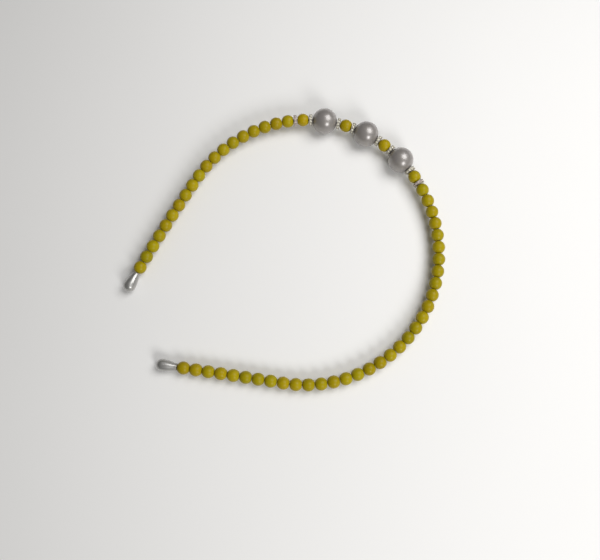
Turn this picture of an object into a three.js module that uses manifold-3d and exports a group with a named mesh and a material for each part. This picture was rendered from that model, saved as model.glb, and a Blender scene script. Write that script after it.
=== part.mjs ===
// A beaded headband: yellow beads, three pearls and silver spacers threaded on a stiff wire bent in a
// horseshoe, with a teardrop on each end of the wire. It lies on a flat surface, where it rests on its
// two outer pearls and on the last bead of the right arm.
// Millimetres, +Z up, +Y from the open ends to the crown, origin on the surface under the box's middle.
import * as THREE from "three";
import { mergeVertices } from "three/addons/utils/BufferGeometryUtils.js";
import Module from "manifold-3d";

// Sizes of the pieces. A belly is where the teardrop is widest, measured from its neck.
const WIRE = { diameter: 1.2, sides: 8, steps: 72 };
const BEAD = { diameter: 6.1, bore: 2.3, sides: 12, arcs: 6 };
const PEARL = { diameter: 12.3, bore: 2.4, sides: 16, arcs: 10 };
const SPACER = { diameter: 5.4, length: 1.45, bore: 2, rim: 0.3, channel: 0.3, sides: 12 };
const TIP = { diameter: 5.7, length: 9.9, neck: 3.4, belly: 6.9, bore: 2, socket: 6.5, sides: 12, arcs: 5 };
const STRING = { beads: 3, bore: 1.8, boreSteps: 6 };
const COLLAR = { diameter: 3.4, length: 1.5 };
const THREAD_GAP = 0.25;
const SOCKET_GAP = 0.4;

// The wire's stretches from the left end, each an arc. A turn is in degrees, clockwise from above.
const STRETCHES = [
  { name: "left arm", length: 55, turn: 4.6 },
  { name: "left shoulder", length: 55, turn: 49 },
  { name: "pearls", length: 55, turn: 51.7 },
  { name: "crown", length: 55, turn: 46.4 },
  { name: "right shoulder", length: 55, turn: 49.6 },
  { name: "right bend", length: 55, turn: 49 },
  { name: "right arm", length: 51, turn: -0.2 },
];

// What is threaded, in its order from the left end.
const LEFT_RUN = 19;
const PEARL_GROUPS = 3;
const RIGHT_RUN = 33;
const ORDER = [
  ...Array(LEFT_RUN).fill("bead"),
  "spacer",
  "bead",
  ...Array(PEARL_GROUPS).fill(["spacer", "pearl", "spacer", "bead"]).flat(),
  "spacer",
  ...Array(RIGHT_RUN).fill("bead"),
];

// Beads near the pearls are separate. Further down the arms they are joined in strings.
const SEPARATE_BEADS = { first: 10, last: 38 };

const FINISH = {
  bead: new THREE.MeshStandardMaterial({ color: 0xc9ad1c, roughness: 0.35, metalness: 0 }),
  pearl: new THREE.MeshStandardMaterial({ color: 0xa9a29a, roughness: 0.25, metalness: 0.1 }),
  spacer: new THREE.MeshStandardMaterial({ color: 0xb9b6b4, roughness: 0.2, metalness: 0.9 }),
  tip: new THREE.MeshStandardMaterial({ color: 0xb0aea6, roughness: 0.22, metalness: 0.1 }),
  wire: new THREE.MeshStandardMaterial({ color: 0x9a9a9c, roughness: 0.35, metalness: 1 }),
};

const wasm = await Module();
wasm.setup();

// One step along an arc of the wire's plane.
function advance({ x, y, heading }, run, turn) {
  const chord = turn === 0 ? run : (run * Math.sin(turn / 2)) / (turn / 2);
  const aim = heading + turn / 2;
  return { x: x + chord * Math.cos(aim), y: y + chord * Math.sin(aim), heading: heading + turn };
}

// The wire's place and heading at a distance along it. Past either end the arc there goes on.
function wireAt(distance) {
  let place = { x: 0, y: 0, heading: 0 };
  let left = distance;
  for (const stretch of STRETCHES) {
    const run = stretch === STRETCHES.at(-1) ? left : Math.min(left, stretch.length);
    const turn = -THREE.MathUtils.degToRad(stretch.turn) * (run / stretch.length);
    place = advance(place, run, turn);
    left -= run;
    if (left <= 0) break;
  }
  return place;
}

class WireRoute extends THREE.Curve {
  constructor(start, end) {
    super();
    this.start = start;
    this.end = end;
  }
  getPoint(t, target = new THREE.Vector3()) {
    const { x, y } = wireAt(THREE.MathUtils.lerp(this.start, this.end, t));
    return target.set(x, y, 0);
  }
}

// Only positions, with shared corners merged, so that the surface is closed.
function closed(geometry) {
  geometry.deleteAttribute("normal");
  geometry.deleteAttribute("uv");
  return mergeVertices(geometry);
}

// A turned solid. Its axis is local Y, and a corner of its sides points straight up and down.
function turned(profile, sides) {
  return closed(new THREE.LatheGeometry(profile, sides));
}

// A round tube or rod along the wire's route.
function alongWire(start, end, { diameter, sides, steps }) {
  const corners = Array.from({ length: sides }, (_, i) => {
    const angle = (2 * Math.PI * i) / sides;
    return new THREE.Vector2(Math.cos(angle), Math.sin(angle)).multiplyScalar(diameter / 2);
  });
  const section = new THREE.Shape(corners);
  const extrudePath = new WireRoute(start, end);
  return closed(new THREE.ExtrudeGeometry(section, { steps, extrudePath, bevelEnabled: false }));
}

function boredLength({ diameter, bore }) {
  return Math.sqrt(diameter ** 2 - bore ** 2);
}

// A ball's outline from one rim of its bore to the other.
function ballOutline({ diameter, bore, arcs }) {
  const reach = Math.acos(bore / diameter);
  return Array.from({ length: arcs + 1 }, (_, i) => {
    const angle = reach * ((2 * i) / arcs - 1);
    return new THREE.Vector2(Math.cos(angle), Math.sin(angle)).multiplyScalar(diameter / 2);
  });
}

function boredBall(size) {
  const outline = ballOutline(size);
  return turned([...outline, outline[0].clone()], size.sides);
}

// The same ball before it is drilled, with flat ends where the bore will be.
function solidBall(size) {
  const outline = ballOutline(size);
  const start = new THREE.Vector2(0, outline[0].y);
  const end = new THREE.Vector2(0, outline.at(-1).y);
  return turned([start, ...outline, end], size.sides);
}

function shortRod({ diameter, length }, sides) {
  return closed(new THREE.CylinderGeometry(diameter / 2, diameter / 2, length, sides));
}

// A ring with a raised rim at each end and a shallow channel between them for its stones.
function spacerRing({ diameter, length, bore, rim, channel, sides }) {
  const outer = diameter / 2;
  const inner = bore / 2;
  const floor = outer - channel;
  const end = length / 2;
  const seat = end - rim;
  const corners = [
    [inner, -end], [outer, -end], [outer, -seat], [floor, -seat],
    [floor, seat], [outer, seat], [outer, end], [inner, end], [inner, -end],
  ];
  return turned(corners.map(([radius, height]) => new THREE.Vector2(radius, height)), sides);
}

// A teardrop from its neck, at local zero, to its round end, with a blind socket in the neck.
function teardrop({ diameter, length, neck, belly, bore, socket, sides, arcs }) {
  const widest = new THREE.Vector2(diameter / 2, belly);
  const flank = new THREE.CubicBezierCurve(
    new THREE.Vector2(neck / 2, 0),
    new THREE.Vector2(neck / 2 + (diameter - neck) / 4, belly / 3),
    new THREE.Vector2(diameter / 2, (belly * 2) / 3),
    widest,
  );
  const cap = new THREE.EllipseCurve(0, belly, diameter / 2, length - belly, 0, Math.PI / 2);
  const profile = [
    new THREE.Vector2(0, socket),
    new THREE.Vector2(bore / 2, socket),
    new THREE.Vector2(bore / 2, 0),
    ...flank.getPoints(arcs),
    ...cap.getPoints(arcs).slice(1, -1),
    new THREE.Vector2(0, length),
  ];
  return turned(profile, sides);
}

function threadOn(mesh, distance, facing = 1) {
  const { x, y, heading } = wireAt(distance);
  mesh.position.set(x, y, 0);
  mesh.rotation.z = heading - (facing * Math.PI) / 2;
  mesh.updateMatrix();
  return mesh;
}

function named(name, geometry, material) {
  const mesh = new THREE.Mesh(geometry, material);
  mesh.name = name;
  return mesh;
}

function toSolid(mesh) {
  const placed = mesh.geometry.clone().applyMatrix4(mesh.matrix);
  const vertProperties = new Float32Array(placed.attributes.position.array);
  const triVerts = new Uint32Array(placed.index.array);
  return new wasm.Manifold(new wasm.Mesh({ numProp: 3, vertProperties, triVerts }));
}

function fromSolid(solid) {
  const { vertProperties, triVerts } = solid.getMesh();
  const geometry = new THREE.BufferGeometry();
  geometry.setAttribute("position", new THREE.BufferAttribute(vertProperties, 3));
  geometry.setIndex(new THREE.BufferAttribute(triVerts, 1));
  return geometry;
}

// Where each threaded piece sits, and its number among its own kind.
const LENGTH = { bead: boredLength(BEAD), pearl: boredLength(PEARL), spacer: SPACER.length };
const threaded = [];
const counts = { bead: 0, pearl: 0, spacer: 0 };
let threadedLength = 0;
for (const kind of ORDER) {
  counts[kind] += 1;
  const distance = threadedLength + (THREAD_GAP + LENGTH[kind]) / 2;
  threaded.push({ kind, number: counts[kind], distance });
  threadedLength += THREAD_GAP + LENGTH[kind];
}

const shape = {
  bead: boredBall(BEAD),
  pearl: boredBall(PEARL),
  spacer: spacerRing(SPACER),
  tip: teardrop(TIP),
  ball: solidBall(BEAD),
  collar: shortRod(COLLAR, BEAD.sides),
};

// The band in the plane of its wire, with local Z up.
const band = new THREE.Group();

function addSeparate({ kind, number, distance }) {
  const label = kind === "bead" ? String(number).padStart(2, "0") : number;
  band.add(threadOn(named(`${kind}_${label}`, shape[kind], FINISH[kind]), distance));
}

// Neighbouring beads joined by a short collar between each two of them, with one bore through them all.
function addString(number, beads) {
  const distances = beads.map(({ distance }) => distance);
  const between = distances.slice(1).map((distance, i) => (distance + distances[i]) / 2);
  const balls = distances.map((distance) => threadOn(new THREE.Mesh(shape.ball), distance));
  const collars = between.map((distance) => threadOn(new THREE.Mesh(shape.collar), distance));
  const joined = [...balls, ...collars].map(toSolid).reduce((whole, solid) => whole.add(solid));
  const drill = { diameter: STRING.bore, sides: WIRE.sides, steps: STRING.boreSteps };
  const bore = alongWire(distances[0] - BEAD.diameter, distances.at(-1) + BEAD.diameter, drill);
  const drilled = joined.subtract(toSolid(new THREE.Mesh(bore)));
  band.add(named(`bead_string_${number}`, fromSolid(drilled), FINISH.bead));
}

const { first, last } = SEPARATE_BEADS;
const isJoined = ({ kind, number }) => kind === "bead" && (number < first || number > last);
const joinedBeads = threaded.filter(isJoined);
threaded.filter((piece) => !isJoined(piece)).forEach(addSeparate);
for (let i = 0; i < joinedBeads.length; i += STRING.beads) {
  addString(i / STRING.beads + 1, joinedBeads.slice(i, i + STRING.beads));
}

const tipStart = THREAD_GAP / 2;
band.add(threadOn(named("tip_left", shape.tip, FINISH.tip), -tipStart, -1));
band.add(threadOn(named("tip_right", shape.tip, FINISH.tip), threadedLength + tipStart));

const wireEnd = tipStart + TIP.socket - SOCKET_GAP;
band.add(named("wire", alongWire(-wireEnd, threadedLength + wireEnd, WIRE), FINISH.wire));

// At rest the two outer pearls lift the crown, and the far end comes down on the last bead.
function centreOf(kind, number) {
  const piece = threaded.find((item) => item.kind === kind && item.number === number);
  const { x, y } = wireAt(piece.distance);
  return new THREE.Vector3(x, y, 0);
}
const firstPearl = centreOf("pearl", 1);
const leanAxis = centreOf("pearl", counts.pearl).sub(firstPearl).normalize();
const farBead = centreOf("bead", counts.bead).sub(firstPearl);
const acrossToFarBead = leanAxis.clone().cross(farBead).z;
const drop = (BEAD.diameter - PEARL.diameter) / 2;
band.quaternion.setFromAxisAngle(leanAxis, Math.asin(drop / acrossToFarBead));

// The line between the wire's two ends runs along X, and the box stands on the origin.
const leftEnd = wireAt(-wireEnd);
const rightEnd = wireAt(threadedLength + wireEnd);
const headband = new THREE.Group();
headband.add(band);
headband.rotation.z = -Math.atan2(rightEnd.y - leftEnd.y, rightEnd.x - leftEnd.x);
const box = new THREE.Box3().setFromObject(headband, true);
const middle = box.getCenter(new THREE.Vector3());
headband.position.set(-middle.x, -middle.y, -box.min.z);

export default headband;
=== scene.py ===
import math
import random

import bmesh
import bpy
from mathutils import Matrix, Vector


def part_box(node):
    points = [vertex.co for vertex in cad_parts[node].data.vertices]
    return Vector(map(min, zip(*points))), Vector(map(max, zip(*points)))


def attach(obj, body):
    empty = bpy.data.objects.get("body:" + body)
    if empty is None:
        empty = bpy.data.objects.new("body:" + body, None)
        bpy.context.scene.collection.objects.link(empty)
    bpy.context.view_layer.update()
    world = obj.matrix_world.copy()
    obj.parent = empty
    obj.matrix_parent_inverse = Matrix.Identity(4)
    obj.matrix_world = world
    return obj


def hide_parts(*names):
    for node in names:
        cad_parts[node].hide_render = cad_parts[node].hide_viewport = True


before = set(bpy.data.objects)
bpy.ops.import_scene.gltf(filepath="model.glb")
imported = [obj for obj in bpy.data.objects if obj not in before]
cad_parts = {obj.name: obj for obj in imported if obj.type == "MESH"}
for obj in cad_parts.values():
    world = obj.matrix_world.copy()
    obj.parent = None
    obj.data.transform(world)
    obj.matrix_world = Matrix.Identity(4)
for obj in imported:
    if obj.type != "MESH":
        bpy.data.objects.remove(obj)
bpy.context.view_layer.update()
scene = bpy.context.scene
mm = 0.001
print("frame: loaded", len(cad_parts), "nodes")

# camera at the photo's angle, nearly straight down, sizes in mm
cameraView = {
    "lookAt": (12.2, 1.5, 0),
    "distance": 290.7,
    "azimuth": 65.6,
    "elevation": 80.3,
    "lens": 36,
    "sensor": 36,
    "nearest": 10,  # nothing closer than this is drawn
}


def aim(thing, target):
    direction = Vector(target) - thing.location
    thing.rotation_mode = "QUATERNION"
    thing.rotation_quaternion = direction.to_track_quat("-Z", "Y")


def addCamera():
    turn = math.radians(cameraView["azimuth"])
    tilt = math.radians(cameraView["elevation"])
    back = Vector((math.sin(turn) * math.cos(tilt), -math.cos(turn) * math.cos(tilt), math.sin(tilt)))
    target = Vector(cameraView["lookAt"]) * mm
    camera = bpy.data.objects.new("camera", bpy.data.cameras.new("camera"))
    camera.data.lens = cameraView["lens"]
    camera.data.sensor_width = cameraView["sensor"]
    camera.data.clip_start = cameraView["nearest"] * mm
    camera.location = target + back * cameraView["distance"] * mm
    aim(camera, target)
    scene.collection.objects.link(camera)
    scene.camera = camera


# soft windows to the right of the view, placed by shares of right, far and up as the camera sees them
softLights = {
    "highWindow": {
        "right": 0.47, "far": 0.26, "up": 0.84,
        "distance": 520, "size": (360, 345), "watts": 2.1,
    },
    "lowWindow": {
        "right": 0.38, "far": -0.70, "up": 0.58,
        "distance": 650, "size": (240, 240), "watts": 2.0,
    },
}
surroundings = {"ambient": 0.15, "backdrop": 0.78, "tint": (1.0, 0.99, 0.97)}


def addLights():
    turn = math.radians(cameraView["azimuth"])
    far = Vector((-math.sin(turn), math.cos(turn), 0))
    right = far.cross(Vector((0, 0, 1)))
    for name, spec in softLights.items():
        lamp = bpy.data.lights.new(name, "AREA")
        lamp.shape = "RECTANGLE"
        lamp.size, lamp.size_y = (side * mm for side in spec["size"])
        lamp.energy = spec["watts"]
        holder = bpy.data.objects.new(name, lamp)
        reach = right * spec["right"] + far * spec["far"] + Vector((0, 0, spec["up"]))
        holder.location = reach.normalized() * spec["distance"] * mm
        aim(holder, (0, 0, 0))
        scene.collection.objects.link(holder)


def addSurroundings():
    world = bpy.data.worlds.new("softRoom")
    world.use_nodes = True
    scene.world = world
    nodes, links = world.node_tree.nodes, world.node_tree.links
    background = nodes["Background"]
    background.inputs["Color"].default_value = (*surroundings["tint"], 1)
    rays = nodes.new("ShaderNodeLightPath")
    level = nodes.new("ShaderNodeMix")  # what lights the band is dimmer than the backdrop that shows
    level.inputs["A"].default_value = surroundings["ambient"]
    level.inputs["B"].default_value = surroundings["backdrop"]
    links.new(rays.outputs["Is Camera Ray"], level.inputs["Factor"])
    links.new(level.outputs["Result"], background.inputs["Strength"])
    scene.view_settings.view_transform = "Standard"


addCamera()
addLights()
addSurroundings()
print("stage: camera, lights and backdrop placed")

# the wire's arcs from the left end, and what is threaded on it, as the CAD has them, in mm and degrees
wire = {
    "arcs": [(55, 4.6), (55, 49), (55, 51.7), (55, 46.4), (55, 49.6), (55, 49), (51, -0.2)],
    "radius": 0.6,
    "inTip": 6.225,  # how far each end runs on into its teardrop
    "sides": 20,
    "step": 1.2,
    "dull": (0.12, 0.115, 0.11),
    "bright": (0.22, 0.215, 0.21),
    "shader": {"Metallic": 1.0},
    "cloud": {"Size mm": 3.0, "Contrast": 1.2},
    "wear": {"Smudge mm": 2.0, "Hairline mm": 0.08, "Peel mm": 0.3},
    "roughness": (0.25, 0.45),
    "bump": {"strength": 0.2, "depth": 0.01},
}
threading = {"gap": 0.25, "bead": (6.1, 2.3), "pearl": (12.3, 2.4), "spacer": (1.45, 0)}  # across, bore
beadOrder = (
    ["bead"] * 19
    + ["spacer", "bead"]
    + ["spacer", "pearl", "spacer", "bead"] * 3
    + ["spacer"]
    + ["bead"] * 33
)
separateBeads = range(10, 39)  # the others are joined in strings
beadsInString = 3


def wireAt(distance):
    x = y = heading = 0.0
    for length, turn in wire["arcs"]:
        isLast = (length, turn) == wire["arcs"][-1]
        run = distance if isLast else min(distance, length)
        bend = -math.radians(turn) * run / length
        chord = run * math.sin(bend / 2) / (bend / 2) if bend else run
        x += chord * math.cos(heading + bend / 2)
        y += chord * math.sin(heading + bend / 2)
        heading += bend
        distance -= run
        if distance <= 0:
            break
    return Vector((x, y, 0)) * mm, heading


def threadPieces():
    places, counts, travelled = {}, {"bead": 0, "pearl": 0, "spacer": 0}, 0.0
    for kind in beadOrder:
        counts[kind] += 1
        across, bore = threading[kind]
        room = math.sqrt(across ** 2 - bore ** 2) + threading["gap"]
        places[kind, counts[kind]] = travelled + room / 2
        travelled += room
    return places, travelled


def axesOf(start, along, beside):
    first = (along - start).normalized()
    up = first.cross(beside - start).normalized()
    return Matrix.Translation(start) @ Matrix((first, up.cross(first), up)).transposed().to_4x4()


def middleOf(node):
    low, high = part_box(node)
    return (low + high) / 2


threadPlaces, threadLength = threadPieces()
anchors = {"pearl_1": ("pearl", 1), "pearl_3": ("pearl", 3), "bead_38": ("bead", 38)}
flatAxes = axesOf(*(wireAt(threadPlaces[key])[0] for key in anchors.values()))
bandAxes = axesOf(*(middleOf(node) for node in anchors)) @ flatAxes.inverted()  # wire's plane to the frame


def onWire(distance, facing=1):
    spot, heading = wireAt(distance)
    return bandAxes @ Matrix.Translation(spot) @ Matrix.Rotation(heading - facing * math.pi / 2, 4, "Z")


print("wire: threaded length", round(threadLength, 1), "mm")


# turns an outline of (radius, along) points in mm about local Y, with single points on the axis
def spinOutline(outline, sides, ring):
    rings, verts = [], []
    for radius, along in outline:
        count = sides if radius > 0 else 1
        rings.append(range(len(verts), len(verts) + count))
        for i in range(count):
            angle = 2 * math.pi * i / sides
            verts.append(Vector((radius * math.sin(angle), along, radius * math.cos(angle))) * mm)
    faces = []
    for low, high in zip(rings, rings[1:] + rings[:1] if ring else rings[1:]):
        for i in range(sides):
            j = (i + 1) % sides
            corners = [low[i % len(low)], low[j % len(low)], high[j % len(high)], high[i % len(high)]]
            corners = list(dict.fromkeys(corners))
            if len(corners) > 2:
                faces.append(corners)
    return verts, faces


# gathers several placed copies in one mesh, with one value per vertex for each named attribute
class MeshPile:
    def __init__(self, *marks):
        self.verts, self.faces, self.finish = [], [], []
        self.marks = {mark: [] for mark in marks}

    def add(self, verts, faces, matrix, finish=0, **values):
        start = len(self.verts)
        self.verts += [matrix @ v for v in verts]
        self.faces += [[start + i for i in face] for face in faces]
        self.finish += [finish] * len(faces)
        for mark, stored in self.marks.items():
            value = values[mark]
            stored += list(value) if isinstance(value, list) else [value] * len(verts)

    def build(self, name, materials, smooth=True):
        mesh = bpy.data.meshes.new(name)
        mesh.from_pydata(self.verts, [], self.faces)
        for material in materials:
            mesh.materials.append(material)
        mesh.polygons.foreach_set("material_index", self.finish)
        for mark, stored in self.marks.items():
            mesh.attributes.new(mark, "FLOAT", "POINT").data.foreach_set("value", stored)
        sides = bmesh.new()
        sides.from_mesh(mesh)
        bmesh.ops.recalc_face_normals(sides, faces=sides.faces)
        sides.to_mesh(mesh)
        sides.free()
        mesh.polygons.foreach_set("use_smooth", [smooth] * len(mesh.polygons))
        mesh.update()
        piece = bpy.data.objects.new(name, mesh)
        scene.collection.objects.link(piece)
        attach(piece, "root")
        return piece


def newGroup(name, inputs, outputs):
    group = bpy.data.node_groups.new(name, "ShaderNodeTree")
    for label, value in inputs.items():
        group.interface.new_socket(label, in_out="INPUT", socket_type="NodeSocketFloat").default_value = value
    for label in outputs:
        group.interface.new_socket(label, in_out="OUTPUT", socket_type="NodeSocketFloat")
    nodes = group.nodes
    return group, nodes, group.links, nodes.new("NodeGroupInput"), nodes.new("NodeGroupOutput")


def mathNode(nodes, links, operation, first, second):
    node = nodes.new("ShaderNodeMath")
    node.operation = operation
    for socket, value in zip(node.inputs, (first, second)):
        if isinstance(value, (int, float)):
            socket.default_value = value
        else:
            links.new(value, socket)
    return node.outputs["Value"]


midTone = 0.5
cloudNoise = {"Detail": 3, "Distortion": 0.6}


# soft uneven tone inside a piece, as in cast plastic and dipped coats
def makeCloudGroup():
    group, nodes, links, given, out = newGroup("cloudyTone", {"Size mm": 2.0, "Contrast": 1.0}, ["Tone"])
    place = nodes.new("ShaderNodeTexCoord")
    perMetre = mathNode(nodes, links, "DIVIDE", 1 / mm, given.outputs["Size mm"])
    cloud = nodes.new("ShaderNodeTexNoise")
    for socket, value in cloudNoise.items():
        cloud.inputs[socket].default_value = value
    links.new(place.outputs["Object"], cloud.inputs["Vector"])
    links.new(perMetre, cloud.inputs["Scale"])
    centred = mathNode(nodes, links, "SUBTRACT", cloud.outputs["Fac"], midTone)
    widened = mathNode(nodes, links, "MULTIPLY", centred, given.outputs["Contrast"])
    links.new(mathNode(nodes, links, "ADD", widened, midTone), out.inputs["Tone"])
    return group


# how fine each pattern is, and how it is scaled along the piece's three axes
handledMarks = {
    "smudge": {"detail": 2, "scale": (1, 1, 1)},
    "hairline": {"detail": 1, "scale": (1, 0.06, 0.4)},
    "peel": {"detail": 1, "scale": (1, 1, 1)},
    "thinning": 6,  # power that leaves only the strongest hairlines
    "scratch": 0.3,  # height of a hairline against the peel
}


# handling marks: where smudges and hairlines dull it, and the height of its hairlines and peel
def makeHandledGroup():
    group, nodes, links, given, out = newGroup(
        "handledSurface", {"Smudge mm": 1.5, "Hairline mm": 0.12, "Peel mm": 0.5}, ["Dulling", "Height"]
    )
    place = nodes.new("ShaderNodeTexCoord")

    def noise(sizeSocket, detail, scale):
        squeeze = nodes.new("ShaderNodeMapping")
        squeeze.inputs["Scale"].default_value = scale
        links.new(place.outputs["Object"], squeeze.inputs["Vector"])
        pattern = nodes.new("ShaderNodeTexNoise")
        pattern.inputs["Detail"].default_value = detail
        links.new(squeeze.outputs["Vector"], pattern.inputs["Vector"])
        perMetre = mathNode(nodes, links, "DIVIDE", 1 / mm, given.outputs[sizeSocket])
        links.new(perMetre, pattern.inputs["Scale"])
        return pattern.outputs["Fac"]

    smudge = noise("Smudge mm", **handledMarks["smudge"])
    hairline = noise("Hairline mm", **handledMarks["hairline"])
    peel = noise("Peel mm", **handledMarks["peel"])
    fine = mathNode(nodes, links, "POWER", hairline, handledMarks["thinning"])
    links.new(mathNode(nodes, links, "ADD", smudge, fine), out.inputs["Dulling"])
    scratched = mathNode(nodes, links, "MULTIPLY", fine, handledMarks["scratch"])
    links.new(mathNode(nodes, links, "ADD", scratched, peel), out.inputs["Height"])
    return group


cloudyTone = makeCloudGroup()
handledSurface = makeHandledGroup()


def newMaterial(name, sockets):
    material = bpy.data.materials.new(name)
    material.use_nodes = True
    nodes, links = material.node_tree.nodes, material.node_tree.links
    shader = nodes["Principled BSDF"]
    for socket, value in sockets.items():
        shader.inputs[socket].default_value = value
    return material, nodes, links, shader


def addGroup(nodes, group, sockets):
    node = nodes.new("ShaderNodeGroup")
    node.node_tree = group
    for socket, value in sockets.items():
        node.inputs[socket].default_value = value
    return node


# sockets go by number here, as a mix node has some names more than once
def colourMix(nodes, links, factor, first, second, blend="MIX"):
    node = nodes.new("ShaderNodeMix")
    node.data_type = "RGBA"
    node.blend_type = blend
    links.new(factor, node.inputs[0])
    for socket, value in ((node.inputs[6], first), (node.inputs[7], second)):
        if isinstance(value, bpy.types.NodeSocket):
            links.new(value, socket)
        else:
            socket.default_value = (*value, 1)
    return node.outputs[2]


def readMark(nodes, mark):
    node = nodes.new("ShaderNodeAttribute")
    node.attribute_name = mark
    return node.outputs["Fac"]


def spread(nodes, links, value, low, high):
    node = nodes.new("ShaderNodeMapRange")
    node.inputs["To Min"].default_value = low
    node.inputs["To Max"].default_value = high
    links.new(value, node.inputs["Value"])
    return node.outputs["Result"]


# worn roughness for any piece, and relief where the piece has some
def addFinish(nodes, links, shader, piece):
    wear = addGroup(nodes, handledSurface, piece["wear"])
    links.new(spread(nodes, links, wear.outputs["Dulling"], *piece["roughness"]), shader.inputs["Roughness"])
    if "bump" in piece:
        relief = nodes.new("ShaderNodeBump")
        relief.inputs["Strength"].default_value = piece["bump"]["strength"]
        relief.inputs["Distance"].default_value = piece["bump"]["depth"] * mm
        links.new(wear.outputs["Height"], relief.inputs["Height"])
        links.new(relief.outputs["Normal"], shader.inputs["Normal"])


# a material whose colour drifts between two shades, with the finish of its piece
def twoShade(name, piece, dull, bright, sockets):
    material, nodes, links, shader = newMaterial(name, sockets)
    cloud = addGroup(nodes, cloudyTone, piece["cloud"])
    links.new(colourMix(nodes, links, cloud.outputs["Tone"], dull, bright), shader.inputs["Base Color"])
    addFinish(nodes, links, shader, piece)
    return material


yellowBead = {
    "radius": 3.05,
    "half": 2.86,  # from its middle to a flat end
    "uncut": 3.2,  # how far it would reach without the flat end
    "edge": 0.1,
    "bore": 0.8,
    "lip": 0.12,
    "sides": 48,
    "arcs": 16,
    "edgeArcs": 4,
    "lipArcs": 6,
    "soilAndShadeFade": 0.4,  # how far the soil and painted shade reach from the bore
    "smaller": 0.012,  # beads vary by up to this share
    "tilt": 0.6,  # degrees off the wire
    "tone": (0.5, 0.2),  # middle and spread of the beads' shades
    "seed": 56,
    "olive": (0.335, 0.281, 0.003),
    "plain": (0.360, 0.280, 0.003),
    "amber": (0.378, 0.270, 0.003),
    "deep": (0.84, 0.82, 0.70),
    # dark colour at the bores: partly dirt, partly painted shade where neighbouring beads meet
    "soilAndShade": (0.120, 0.088, 0.003),
    "shader": {"Specular IOR Level": 0.15},
    "cloud": {"Size mm": 2.4, "Contrast": 0.7},
    "wear": {"Smudge mm": 1.8, "Hairline mm": 0.15, "Peel mm": 0.7},
    "roughness": (0.25, 0.38),
    "bump": {"strength": 0.12, "depth": 0.02},
}


def yellowPlastic():
    material, nodes, links, shader = newMaterial("yellowPlastic", yellowBead["shader"])
    ramp = nodes.new("ShaderNodeValToRGB")
    shades = ramp.color_ramp.elements
    shades.new(midTone)
    for element, shade in zip(shades, ("olive", "plain", "amber")):
        element.color = (*yellowBead[shade], 1)
    cloud = addGroup(nodes, cloudyTone, yellowBead["cloud"])
    tone = mathNode(nodes, links, "ADD", readMark(nodes, "tone"), cloud.outputs["Tone"])
    links.new(mathNode(nodes, links, "SUBTRACT", tone, midTone), ramp.inputs["Fac"])
    depth = readMark(nodes, "depth")
    deep = colourMix(nodes, links, depth, ramp.outputs["Color"], yellowBead["deep"], "MULTIPLY")
    # the colour darkens towards the bores, partly as dirt and partly as painted shade where the beads meet
    soiledAndShaded = colourMix(nodes, links, readMark(nodes, "lip"), deep, yellowBead["soilAndShade"])
    links.new(soiledAndShaded, shader.inputs["Base Color"])
    addFinish(nodes, links, shader, yellowBead)
    return material


# a drilled bead's outline: flank, rounded edge, flat end, lip, bore wall and the same again mirrored
def beadOutline(radius, half, uncut, edge, bore, lip, arcs, edgeArcs, lipArcs):
    def widthAt(height):
        return radius * math.sqrt(1 - (height / uncut) ** 2)

    reach = math.asin((half - edge) / uncut)
    turns = [reach * i / arcs for i in range(arcs + 1)]
    outline = [(radius * math.cos(turn), uncut * math.sin(turn)) for turn in turns]
    shoulder, corner = widthAt(half - edge), widthAt(half)
    for i in range(1, edgeArcs + 1):
        share = i / edgeArcs
        outline.append((shoulder + 2 * share * (corner - shoulder), half - edge * (1 - share) ** 2))
    for i in range(lipArcs + 1):
        angle = math.pi / 2 * (1 + i / lipArcs)
        outline.append((bore + lip + lip * math.cos(angle), half - lip + lip * math.sin(angle)))
    outline.append((bore, half / 2))
    mirrored = [(across, -along) for across, along in reversed(outline[1:])]
    return outline + [(bore, 0)] + mirrored


# a drilled ball's outline: rounded lip, ball, rounded lip and bore wall
def drilledOutline(radius, bore, lip, arcs, lipArcs):
    middle = math.sqrt((radius - lip) ** 2 - (bore + lip) ** 2)
    reach = math.atan2(middle, bore + lip)
    upper = []
    for i in range(lipArcs):
        angle = math.pi + (reach - math.pi) * i / lipArcs
        upper.append((bore + lip + lip * math.cos(angle), middle + lip * math.sin(angle)))
    turns = [reach * (1 - 2 * i / arcs) for i in range(arcs + 1)]
    ball = [(radius * math.cos(turn), radius * math.sin(turn)) for turn in turns]
    lower = [(across, -along) for across, along in reversed(upper)]
    wall = [(bore, -middle / 2), (bore, 0), (bore, middle / 2)]
    return upper + ball + lower + wall


def nearBore(verts, bore, fade):
    across = [math.hypot(v.x, v.z) / mm for v in verts]
    return [max(0.0, 1 - (a - bore) / fade) ** 2 for a in across]


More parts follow.
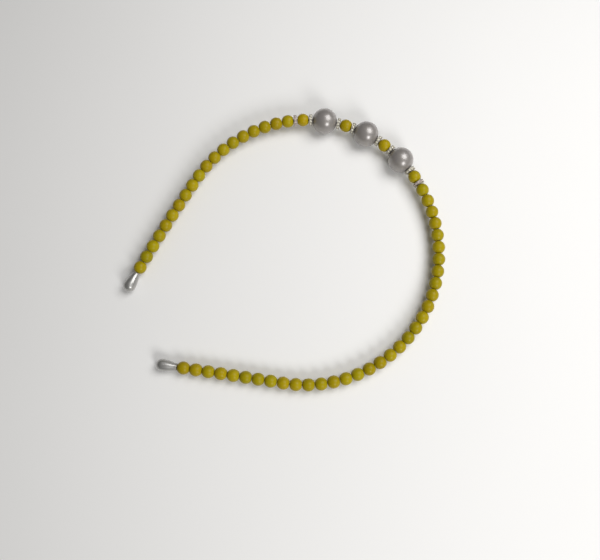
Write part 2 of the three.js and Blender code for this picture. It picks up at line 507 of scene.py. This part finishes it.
def makeBeads():
    draws = random.Random(yellowBead["seed"])
    material = yellowPlastic()
    measures = ("radius", "half", "uncut", "edge", "bore", "lip", "arcs", "edgeArcs", "lipArcs")
    outline = beadOutline(*(yellowBead[key] for key in measures))
    verts, faces = spinOutline(outline, yellowBead["sides"], ring=True)
    # mask for the soil and painted shade, strongest at the bore where the beads meet
    soilAndShade = nearBore(verts, yellowBead["bore"], yellowBead["soilAndShadeFade"])
    beadCount = beadOrder.count("bead")
    nodeOf = {number: f"bead_{number:02d}" for number in separateBeads}
    joined = [number for number in range(1, beadCount + 1) if number not in separateBeads]
    nodeOf.update({number: f"bead_string_{i // beadsInString + 1}" for i, number in enumerate(joined)})
    piles = {}
    for number in range(1, beadCount + 1):
        size = 1 - draws.uniform(0, yellowBead["smaller"])
        lean = [math.radians(draws.uniform(-1, 1) * yellowBead["tilt"]) for _ in "xz"]
        shift = Matrix.Rotation(lean[0], 4, "X") @ Matrix.Rotation(lean[1], 4, "Z")
        roll = Matrix.Rotation(draws.uniform(0, 2 * math.pi), 4, "Y")
        matrix = onWire(threadPlaces["bead", number]) @ shift @ roll @ Matrix.Scale(size, 4)
        tone = min(1, max(0, draws.gauss(*yellowBead["tone"])))
        depth = draws.uniform(0, 1)
        pile = piles.setdefault(nodeOf[number], MeshPile("tone", "depth", "lip"))
        pile.add(verts, faces, matrix, tone=tone, depth=depth, lip=soilAndShade)
    for node, pile in piles.items():
        piece = pile.build("yellow_" + node, [material])
        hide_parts(node)
    return beadCount


print("beads:", makeBeads(), "yellow beads threaded")

pearl = {
    "radius": 6.14,
    "bore": 0.95,
    "lip": 0.3,
    "sides": 96,
    "arcs": 72,
    "lipArcs": 6,
    "bareFade": 0.7,  # how far from the bore the coat is worn
    "cool": (0.235, 0.216, 0.211),
    "warm": (0.286, 0.262, 0.236),
    "bare": (0.42, 0.38, 0.32),
    "shader": {"Metallic": 0.3, "Coat Weight": 1.0, "Coat Roughness": 0.25, "Coat IOR": 1.6},
    "cloud": {"Size mm": 5.0, "Contrast": 1.3},
    "wear": {"Smudge mm": 3.0, "Hairline mm": 0.25, "Peel mm": 1.6},
    "roughness": (0.36, 0.44),
    "bump": {"strength": 0.10, "depth": 0.03},
}


# grey dipped pearl coat, worn bare at the rims of the holes
def nacreCoat(name, piece):
    material, nodes, links, shader = newMaterial(name, piece["shader"])
    cloud = addGroup(nodes, cloudyTone, piece["cloud"])
    dipped = colourMix(nodes, links, cloud.outputs["Tone"], piece["cool"], piece["warm"])
    rubbed = colourMix(nodes, links, readMark(nodes, "lip"), dipped, piece["bare"])
    links.new(rubbed, shader.inputs["Base Color"])
    addFinish(nodes, links, shader, piece)
    return material


def makePearls():
    material = nacreCoat("greyPearl", pearl)
    outline = drilledOutline(*(pearl[key] for key in ("radius", "bore", "lip", "arcs", "lipArcs")))
    verts, faces = spinOutline(outline, pearl["sides"], ring=True)
    bare = nearBore(verts, pearl["bore"], pearl["bareFade"])
    count = beadOrder.count("pearl")
    for number in range(1, count + 1):
        pile = MeshPile("lip")
        pile.add(verts, faces, onWire(threadPlaces["pearl", number]), lip=bare)
        piece = pile.build(f"round_pearl_{number}", [material])
        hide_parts(f"pearl_{number}")
    return count


print("pearls:", makePearls(), "threaded")

spacerRing = {
    "radius": 2.7,
    "bore": 0.95,
    "rim": 0.17,
    "length": 1.45,
    "channel": 2.2,
    "rounding": 0.06,
    "cornerArcs": 4,
    "sides": 80,
    "silver": (0.62, 0.585, 0.51),
    "tarnish": (0.42, 0.39, 0.33),
    "shader": {"Metallic": 1.0},
    "cloud": {"Size mm": 0.9, "Contrast": 1.5},
    "wear": {"Smudge mm": 0.8, "Hairline mm": 0.06, "Peel mm": 0.2},
    "roughness": (0.40, 0.56),
    "bump": {"strength": 0.15, "depth": 0.01},
}
stone = {
    "count": 10,
    "facets": 8,
    "radius": 0.56,
    "table": 0.33,
    "crown": 0.22,
    "star": (0.8, 0.55),  # where the star facets end, as shares of the radius and the crown
    "girdle": 0.05,
    "pavilion": 0.40,
    "top": 2.66,  # how far the table stands from the wire's centre
    "nod": 4,  # degrees that a stone may lean in its seat
    "claw": 0.12,
    "clawSides": 8,
    "clawSteps": 10,
    "clawBlunt": 0.02,  # how blunt a claw's two ends are
    "seed": 8,
    "dimmer": 0.9,  # the darker of a stone's two shades
    "clear": (0.84, 0.80, 0.66),
    "mauve": (0.66, 0.53, 0.50),
    "mauveOn": (1, 8),  # the outermost spacers have pale mauve stones
    "shader": {"IOR": 1.56, "Transmission Weight": 0.1},
    "cloud": {"Size mm": 0.6, "Contrast": 0.8},
    "wear": {"Smudge mm": 0.5, "Hairline mm": 0.05, "Peel mm": 0.3},
    "roughness": (0.02, 0.10),
}
foil = {
    "dull": (0.78, 0.77, 0.75),
    "bright": (0.92, 0.91, 0.90),
    "shader": {"Metallic": 1.0},
    "cloud": {"Size mm": 0.4, "Contrast": 1.0},
    "wear": {"Smudge mm": 0.4, "Hairline mm": 0.05, "Peel mm": 0.2},
    "roughness": (0.10, 0.25),
}


def stoneGlass(name, tint):
    dim = tuple(stone["dimmer"] * channel for channel in tint)
    return twoShade(name, stone, dim, tint, stone["shader"])


def roundedCorners(corners, rounding, arcs):
    outline = []
    for i, corner in enumerate(corners):
        here = Vector(corner)
        before = (Vector(corners[i - 1]) - here).normalized() * rounding
        after = (Vector(corners[(i + 1) % len(corners)]) - here).normalized() * rounding
        for step in range(arcs + 1):
            share = step / arcs
            spot = here + before * (1 - share) ** 2 + after * share ** 2
            outline.append((spot.x, spot.y))
    return outline


def ringOutline():
    outer, inner, floor = spacerRing["radius"], spacerRing["bore"], spacerRing["channel"]
    end = spacerRing["length"] / 2
    seat = end - spacerRing["rim"]
    corners = [(inner, -end), (outer, -end), (outer, -seat), (floor, -seat),
               (floor, seat), (outer, seat), (outer, end), (inner, end)]
    return roundedCorners(corners, spacerRing["rounding"], spacerRing["cornerArcs"])


# a brilliant-cut stone along local Z with its table up, as crown facets and foiled back facets
def cutStone():
    facets = stone["facets"]
    edges = 2 * facets
    bottom = -stone["girdle"]
    starOut, starUp = stone["star"]

    def circle(radius, height, count, offset):
        angles = [offset + 2 * math.pi * i / count for i in range(count)]
        return [Vector((radius * math.cos(a), radius * math.sin(a), height)) * mm for a in angles]

    table = circle(stone["table"], stone["crown"], facets, 0)
    star = circle(starOut * stone["radius"], starUp * stone["crown"], facets, math.pi / facets)
    upper = circle(stone["radius"], 0, edges, 0)
    lower = circle(stone["radius"], bottom, edges, 0)
    culet = [Vector((0, 0, bottom - stone["pavilion"])) * mm]
    verts = table + star + upper + lower + culet
    starAt = facets
    upperAt = starAt + facets
    lowerAt = upperAt + edges
    culetAt = lowerAt + edges
    crown = [list(range(facets))]
    for i in range(facets):
        j = (i + 1) % facets
        crown.append([i, starAt + i, j])
        crown.append([i, starAt + (i - 1) % facets, upperAt + 2 * i, starAt + i])
        crown.append([starAt + i, upperAt + 2 * i, upperAt + 2 * i + 1])
        crown.append([starAt + i, upperAt + 2 * i + 1, upperAt + (2 * i + 2) % edges])
    back = []
    for i in range(edges):
        j = (i + 1) % edges
        crown.append([upperAt + i, lowerAt + i, lowerAt + j, upperAt + j])
        back.append([lowerAt + i, culetAt, lowerAt + j])
    return verts, crown, back


# a small claw that lies over the edges of two neighbouring stones
def claw():
    width, length = stone["claw"], spacerRing["length"] / 2 - spacerRing["rim"] / 2
    across, along = stone["clawSides"], stone["clawSteps"]
    verts, faces = [], []
    for i in range(along + 1):
        share = 2 * i / along - 1
        swell = width * math.sqrt(max(stone["clawBlunt"], 1 - share ** 4))
        for j in range(across):
            angle = 2 * math.pi * j / across
            verts.append(Vector((swell * math.cos(angle), length * share, swell * math.sin(angle))) * mm)
    for i in range(along):
        for j in range(across):
            k = (j + 1) % across
            faces.append([i * across + j, i * across + k, (i + 1) * across + k, (i + 1) * across + j])
    faces.append(list(range(across)))
    faces.append(list(range(along * across, (along + 1) * across)))
    return verts, faces


def makeSpacers():
    draws = random.Random(stone["seed"])
    tarnish, plate = spacerRing["tarnish"], spacerRing["silver"]
    silver = twoShade("silverPlate", spacerRing, tarnish, plate, spacerRing["shader"])
    backing = twoShade("stoneFoil", foil, foil["dull"], foil["bright"], foil["shader"])
    glass = {shade: stoneGlass(shade + "Stone", stone[shade]) for shade in ("clear", "mauve")}
    ringVerts, ringFaces = spinOutline(ringOutline(), spacerRing["sides"], ring=True)
    clawVerts, clawFaces = claw()
    stoneVerts, crown, back = cutStone()
    count = beadOrder.count("spacer")
    seatHeight = (stone["top"] - stone["crown"]) * mm
    clawHeight = (spacerRing["radius"] - stone["claw"]) * mm
    step = 2 * math.pi / stone["count"]
    facetTurn = 2 * math.pi / stone["facets"]
    for number in range(1, count + 1):
        place = onWire(threadPlaces["spacer", number]) @ Matrix.Rotation(draws.uniform(0, step), 4, "Y")
        metal, stones = MeshPile(), MeshPile()
        metal.add(ringVerts, ringFaces, place)
        for i in range(stone["count"]):
            seat = place @ Matrix.Rotation(step * i, 4, "Y") @ Matrix.Translation((0, 0, seatHeight))
            twist = Matrix.Rotation(draws.uniform(0, facetTurn), 4, "Z")
            nod = Matrix.Rotation(math.radians(draws.uniform(-1, 1) * stone["nod"]), 4, "X")
            stones.add(stoneVerts, crown + back, seat @ nod @ twist)
            stones.finish[-len(back):] = [1] * len(back)
            between = Matrix.Rotation(step * (i + 0.5), 4, "Y") @ Matrix.Translation((0, 0, clawHeight))
            metal.add(clawVerts, clawFaces, place @ between)
        piece = metal.build(f"spacer_ring_{number}", [silver])
        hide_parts(f"spacer_{number}")
        shade = "mauve" if number in stone["mauveOn"] else "clear"
        stones.build(f"spacer_stones_{number}", [glass[shade], backing], smooth=False)
    return count


print("spacers:", makeSpacers(), "rings with", stone["count"], "stones each")

teardrop = {
    "radius": 2.83,
    "length": 9.84,
    "neck": 1.69,
    "belly": 6.9,
    "waist": (0.2, 2.0),  # how much it has swelled how far from the neck
    "full": 4.4,  # where the flank leans into its widest
    "bore": 0.85,
    "socket": 6.5,
    "lip": 0.18,
    "sides": 64,
    "boreSteps": 6,
    "mouthArcs": 8,
    "flankArcs": 24,
    "endArcs": 20,
    "bareFade": 0.5,  # how far from the neck the coat is worn
    "cool": (0.36, 0.355, 0.342),
    "warm": (0.44, 0.43, 0.405),
    "bare": (0.42, 0.38, 0.32),
    "shader": {"Metallic": 0.8, "Coat Weight": 1.0, "Coat Roughness": 0.2, "Coat IOR": 1.6},
    "cloud": {"Size mm": 4.0, "Contrast": 1.3},
    "wear": {"Smudge mm": 2.4, "Hairline mm": 0.2, "Peel mm": 1.4},
    "roughness": (0.38, 0.46),
    "bump": {"strength": 0.08, "depth": 0.03},
}


def dropOutline():
    radius, neck, belly, lip = (teardrop[key] for key in ("radius", "neck", "belly", "lip"))
    bore, socket, length = (teardrop[key] for key in ("bore", "socket", "length"))
    boreSteps, mouthArcs = teardrop["boreSteps"], teardrop["mouthArcs"]
    flankArcs, endArcs = teardrop["flankArcs"], teardrop["endArcs"]
    outline = [(0, socket), (bore, socket)]
    outline += [(bore, socket * (1 - i / boreSteps)) for i in range(1, boreSteps)]
    half = (neck - bore) / 2
    for i in range(mouthArcs + 1):  # rounded mouth of the socket
        angle = math.pi * (1 + i / mouthArcs)
        outline.append((bore + half + half * math.cos(angle), lip + lip * math.sin(angle)))
    swell, waist = teardrop["waist"]
    flank = [Vector((neck, lip)), Vector((neck + swell, waist)),
             Vector((radius, teardrop["full"])), Vector((radius, belly))]
    for i in range(1, flankArcs + 1):
        t = i / flankArcs
        weights = ((1 - t) ** 3, 3 * t * (1 - t) ** 2, 3 * t * t * (1 - t), t ** 3)
        spot = sum((point * weight for point, weight in zip(flank, weights)), Vector((0, 0)))
        outline.append((spot.x, spot.y))
    for i in range(1, endArcs):
        angle = math.pi / 2 * i / endArcs
        outline.append((radius * math.cos(angle), belly + (length - belly) * math.sin(angle)))
    return outline + [(0, length)]


def makeTips():
    material = nacreCoat("pearlDrop", teardrop)
    verts, faces = spinOutline(dropOutline(), teardrop["sides"], ring=False)
    bare = [max(0.0, 1 - v.y / mm / teardrop["bareFade"]) for v in verts]
    start = threading["gap"] / 2
    ends = {"left": onWire(-start, -1), "right": onWire(threadLength + start)}
    for side, matrix in ends.items():
        pile = MeshPile("lip")
        pile.add(verts, faces, matrix, lip=bare)
        piece = pile.build(f"teardrop_{side}", [material])
        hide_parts(f"tip_{side}")
    return len(ends)


print("tips:", makeTips(), "teardrops")


def makeWire():
    length = threadLength + 2 * wire["inTip"]
    steps = round(length / wire["step"])
    sides = wire["sides"]
    verts, faces = [], []
    for i in range(steps + 1):
        matrix = onWire(length * i / steps - wire["inTip"])
        for j in range(sides):
            angle = 2 * math.pi * j / sides
            verts.append(matrix @ (Vector((math.sin(angle), 0, math.cos(angle))) * wire["radius"] * mm))
    for i in range(steps):
        for j in range(sides):
            k = (j + 1) % sides
            faces.append([i * sides + j, i * sides + k, (i + 1) * sides + k, (i + 1) * sides + j])
    faces += [list(range(sides)), list(range(steps * sides, (steps + 1) * sides))]
    pile = MeshPile()
    pile.add(verts, faces, Matrix.Identity(4))
    steel = twoShade("drawnSteel", wire, wire["dull"], wire["bright"], wire["shader"])
    piece = pile.build("core_wire", [steel])
    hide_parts("wire")
    return length


print("wire:", round(makeWire(), 1), "mm long")

floorSheet = {
    "side": 6000,
    "fade": (215, 560),  # how far out it starts and ends fading into the backdrop
    "pale": (0.81, 0.802, 0.788),
    "paler": (0.84, 0.832, 0.818),
    "shader": {"Specular IOR Level": 0.2},
    "cloud": {"Size mm": 180.0, "Contrast": 1.0},
    "wear": {"Smudge mm": 90.0, "Hairline mm": 4.0, "Peel mm": 2.0},
    "roughness": (0.6, 0.8),
}


def floorPaint():
    material, nodes, links, shader = newMaterial("paleFloor", floorSheet["shader"])
    cloud = addGroup(nodes, cloudyTone, floorSheet["cloud"])
    near = colourMix(nodes, links, cloud.outputs["Tone"], floorSheet["pale"], floorSheet["paler"])
    place = nodes.new("ShaderNodeTexCoord")
    reach = nodes.new("ShaderNodeVectorMath")
    reach.operation = "LENGTH"
    links.new(place.outputs["Object"], reach.inputs[0])
    fade = nodes.new("ShaderNodeMapRange")
    fade.interpolation_type = "SMOOTHSTEP"
    fadeStart, fadeEnd = floorSheet["fade"]
    fade.inputs["From Min"].default_value = fadeStart * mm
    fade.inputs["From Max"].default_value = fadeEnd * mm
    links.new(reach.outputs["Value"], fade.inputs["Value"])
    black = (0, 0, 0)
    links.new(colourMix(nodes, links, fade.outputs["Result"], near, black), shader.inputs["Base Color"])
    far = colourMix(nodes, links, fade.outputs["Result"], black, surroundings["tint"])
    links.new(far, shader.inputs["Emission Color"])
    shader.inputs["Emission Strength"].default_value = surroundings["backdrop"]
    addFinish(nodes, links, shader, floorSheet)
    return material


def addFloor():
    half = floorSheet["side"] / 2 * mm
    mesh = bpy.data.meshes.new("floor")
    corners = [(-half, -half, 0), (half, -half, 0), (half, half, 0), (-half, half, 0)]
    mesh.from_pydata(corners, [], [(0, 1, 2, 3)])
    mesh.materials.append(floorPaint())
    floor = bpy.data.objects.new("floor", mesh)
    scene.collection.objects.link(floor)


addFloor()
